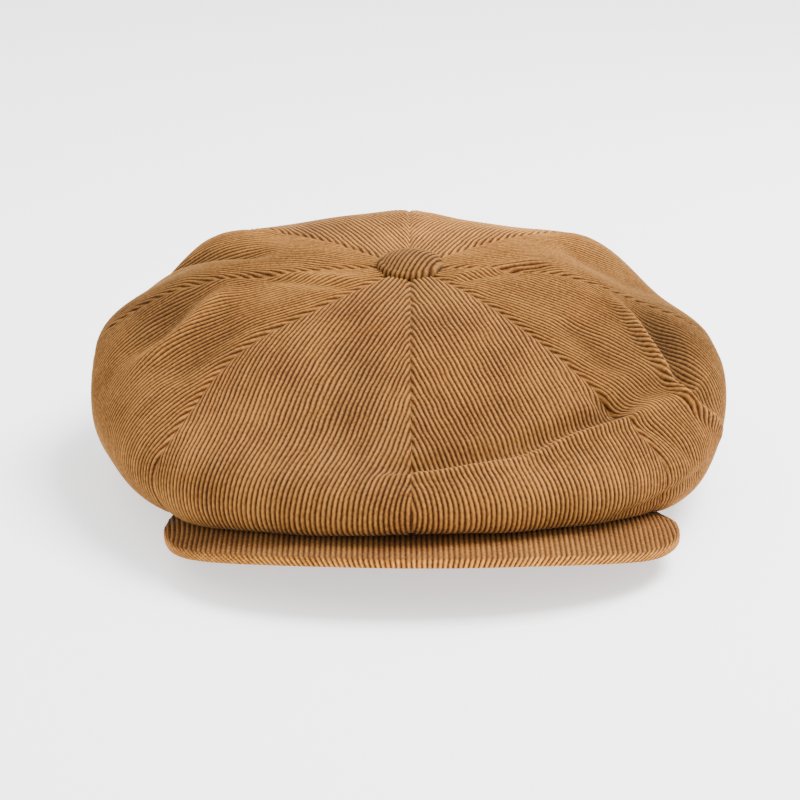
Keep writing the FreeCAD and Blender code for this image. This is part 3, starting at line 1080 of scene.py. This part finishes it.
def visor_cover(name, underside):
    """One of the visor's cloths; the top one is drawn round the edge."""
    grow = UNDER_START if underside else COVER_END - EDGE_RADIUS
    x, y = plan_grid(grow, UNDER_ROWS if underside else TOP_ROWS)
    _, _, signed = to_outline(x, y)
    rib = rib_shape(x if underside else slanted(x, signed + EDGE_RADIUS))
    pressed = 1 - gauss(signed - grow, SEWN_VISOR_RIBS)
    contrast = TOP_RIBS + (1 - TOP_RIBS) * smooth(signed, *EDGE_ZONE)
    contrast = 0.5 + (rib - 0.5) * contrast
    outer, inner, signed = visor_surface(x, y, VISOR_THICK / 2, rib * pressed, underside)
    points = skewed(both_faces(outer, inner))
    quads = shell_quads(*x.shape)
    if not underside:
        quads = quads[:, ::-1]
    return ribbed_mesh(name, points, quads, contrast, visor_painted_light(signed), (x, y))


def visor_board(name):
    x, y = plan_grid(-BOARD_INSET, BOARD_ROWS)
    x, y = x[:, ::BOARD_COLUMN_STEP], y[:, ::BOARD_COLUMN_STEP]
    middle = visor_z(x, y)
    half = VISOR_THICK / 2 - COVER - BOARD_PLAY
    upper = np.stack([x, y, middle + half], axis=-1)
    lower = np.stack([x, y, middle - half], axis=-1)
    points = both_faces(upper, lower)
    return make_mesh(name, skewed(points), shell_quads(*x.shape)[:, ::-1])


def visor():
    pieces = [
        (visor_cover("visor_top_cover_corduroy", False), CORDUROY, "corduroy", "visor_top_cover"),
        (visor_cover("visor_under_cover_corduroy", True), CORDUROY, "corduroy",
         "visor_under_cover"),
        (visor_board("visor_board_sheet"), BOARD, "visor_board", "visor_board"),
    ]
    for piece, material, slot, node in pieces:
        finish_piece(piece, material, slot, None, node)
        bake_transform(piece)


# ---- button ----
button_low, button_high = (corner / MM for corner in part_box("button_cover"))
BUTTON_RADIUS = (button_high.x - button_low.x) / 2 + 0.6
BUTTON_TILT = 9.0  # its front is lower
BUTTON_DOME = 5.2
BUTTON_LIP = 2.4  # radius of its rounded rim
BUTTON_TUCK = 2.5  # how far the cloth then goes in under it
BUTTON_EDGE = 0.80  # share of the cloth's run at which the rim starts
BUTTON_FLATNESS = 2.2
BUTTON_SEAT = 0.4  # above the middle of the CAD cover
BUTTON_RIBS_HEADING = -24.0  # degrees that its ribs lean from the front-to-back line
BUTTON_RIB_SHARE = 0.9
BUTTON_CLOTH = 0.8
# painted shade: the button's cloth is painted darker
BUTTON_PAINTED_SHADE = -0.30
BUTTON_RINGS = 60
BUTTON_COLUMNS = 300


def button_profile(run):
    """Radius and height of the button's cloth, from its middle to where it ends underneath."""
    swing = np.clip((run - BUTTON_EDGE) / (1 - BUTTON_EDGE), 0, 1) * math.pi
    flat = np.clip(run / BUTTON_EDGE, 0, 1)
    radius = flat * (BUTTON_RADIUS - BUTTON_LIP)
    radius = radius + BUTTON_LIP * np.sin(np.clip(swing, 0, math.pi / 2))
    radius -= np.where(swing > math.pi / 2, BUTTON_TUCK * (1 - np.sin(swing)), 0)
    dome = (BUTTON_DOME - BUTTON_LIP) * (1 - flat ** BUTTON_FLATNESS)
    return radius, dome + BUTTON_LIP * np.cos(swing)


def seated_button(points):
    """The button's points tilted to the front and moved to its place."""
    tilt = math.radians(BUTTON_TILT)
    middle = (button_low + button_high) / 2
    seated = points.copy()
    seated[:, 1] = points[:, 1] * math.cos(tilt) - points[:, 2] * math.sin(tilt)
    seated[:, 2] = points[:, 1] * math.sin(tilt) + points[:, 2] * math.cos(tilt)
    return seated + (0, 0, middle.z - BUTTON_DOME / 2 + BUTTON_SEAT)


def button():
    run = np.linspace(0, 1, BUTTON_RINGS)
    turn = np.linspace(0, 2 * math.pi, BUTTON_COLUMNS, endpoint=False)
    radius, height = button_profile(run)
    x = radius[:, None] * np.cos(turn)
    y = radius[:, None] * np.sin(turn)
    outer = np.stack([x, y, np.broadcast_to(height[:, None], x.shape)], axis=-1)
    lead = math.radians(BUTTON_RIBS_HEADING)
    spread = run / BUTTON_EDGE * (BUTTON_RADIUS - BUTTON_LIP)
    ribs_at = spread[:, None] * np.cos(turn - lead)
    along_them = spread[:, None] * np.sin(turn - lead)
    rib = rib_shape(ribs_at)
    closing = np.concatenate([outer, outer[:, :1]], axis=1)
    facing = unit(np.cross(np.gradient(closing, axis=0), np.gradient(closing, axis=1)))[:, :-1]
    facing[0] = (0, 0, 1)
    height = BUTTON_RIB_SHARE * RIB_HEIGHT * (rib - 0.5) * smooth(run, 0, 0.03)[:, None]
    raised = outer + facing * height[..., None]
    inner = outer - facing * BUTTON_CLOTH
    points = seated_button(both_faces(raised, inner[::-1]))
    quads = grid_faces(2 * BUTTON_RINGS, BUTTON_COLUMNS, closed=True)
    piece = ribbed_mesh("button_cover_corduroy", points, quads, rib, BUTTON_PAINTED_SHADE,
                        (ribs_at, along_them))
    finish_piece(piece, CORDUROY, "corduroy", "cap", "button_cover")


# ---- sweatband ----
BAND_THICK = 1.2
BAND_BEHIND = 0.15  # its outer face is this far inside the head opening's line
BAND_ROWS = 26
BAND_LENGTH = 580
BAND_SWAY = 0.5
BAND_SWAY_SIZE = 30
BAND_BEAD = (0.35, 1.2)  # height and width of the roll along both edges
BAND_STITCH = (0.25, 3.2, 0.5)  # depth, distance from the upper edge and width


def band_edges():
    """Heights of the sweatband's lower and upper edge round the head opening."""
    tree = node_tree(["sweatband"])
    angles = 2.0 + np.arange(0, 360, 4.0)
    up = Vector((0, 0, 1))
    heights = []
    for angle in angles:
        turn = math.radians(angle)
        middle = rim_radius(angle, -BAND_THICK / 2)
        place = Vector((middle * math.sin(turn), -middle * math.cos(turn), 0))
        hits = tree.ray_cast(place - up * BELOW, up), tree.ray_cast(place + up * BEYOND, -up)
        heights.append([hit[0].z for hit in hits])
    return angles, *np.array(heights).T


def sweatband():
    angles, lows, highs = band_edges()
    turn = np.arange(0, 360, 1.0)
    low = np.interp(turn, angles, lows, period=360)
    high = np.interp(turn, angles, highs, period=360)
    share = np.linspace(0, 1, BAND_ROWS)[:, None]
    height = low + (high - low) * share
    x = np.broadcast_to(turn / 360 * BAND_LENGTH, height.shape)
    sway = BAND_SWAY * waves(x, height, BAND_SWAY_SIZE, 71) * share
    bead_high, bead_wide = BAND_BEAD
    bead = bead_high * gauss(high - height, bead_wide) + bead_high * gauss(height - low, bead_wide)
    stitch_deep, stitch_at, stitch_wide = BAND_STITCH
    groove = stitch_deep * gauss(high - height - stitch_at, stitch_wide)
    lead = np.radians(turn)

    def ring(radius):
        return np.stack([radius * np.sin(lead), -radius * np.cos(lead), height], axis=-1)

    line = rim_radius(turn, 0)
    inner = ring(line + (-BAND_THICK - sway - bead + groove))
    outer = ring(line - BAND_BEHIND - sway)
    points = np.concatenate([inner, outer[::-1]]).reshape(-1, 3)
    # the grid closes on itself upwards too: its last row of quads ends at the first points
    quads = grid_faces(2 * BAND_ROWS + 1, len(turn), closed=True) % len(points)
    piece = make_mesh("sweatband_grosgrain", points, quads)
    finish_piece(piece, BAND_CLOTH, "sweatband_cotton", "cap", "sweatband")


def carried_over():
    """CAD nodes whose own shape is right get their material."""
    for node, material in (("button_shell", METAL), ("button_back_plate", METAL),
                           ("button_prongs", METAL), ("size_tab", RIBBON)):
        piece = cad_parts[node]
        piece.data.materials.clear()
        piece.data.materials.append(material)


crown()
lining()
visor()
button()
sweatband()
carried_over()


# ---- floor and light, in metres ----
FLOOR_GLOW = 0.95
WORLD_LIGHT = 1.5
AIM = (0, 0, 0.03)


def paper_floor():
    """A pale floor that also glows a little, as white paper lit from all sides looks."""
    bpy.ops.mesh.primitive_plane_add(size=8)
    floor = bpy.context.object
    floor.name = "floor"
    paper = Look("floor", Base_Color=(0.95, 0.95, 0.955), Roughness=0.9,
                 Emission_Color=(1, 1, 1), Emission_Strength=FLOOR_GLOW)
    floor.data.materials.append(paper.material)


def area_light(name, place, size, power):
    data = bpy.data.lights.new(name, "AREA")
    data.size = size
    data.energy = power
    light = add_object(name, data)
    light.location = place
    light.rotation_euler = (Vector(AIM) - Vector(place)).to_track_quat("-Z", "Y").to_euler()


def lights():
    area_light("key", (0.68, 0.12, 1.28), 0.8, 63)
    area_light("fill", (-0.9, -1.3, 1.0), 1.6, 6)
    world = bpy.data.worlds.new("world")
    world.use_nodes = True
    background = world.node_tree.nodes["Background"]
    background.inputs["Color"].default_value = (1, 1, 1, 1)
    background.inputs["Strength"].default_value = WORLD_LIGHT
    bpy.context.scene.world = world


paper_floor()
lights()
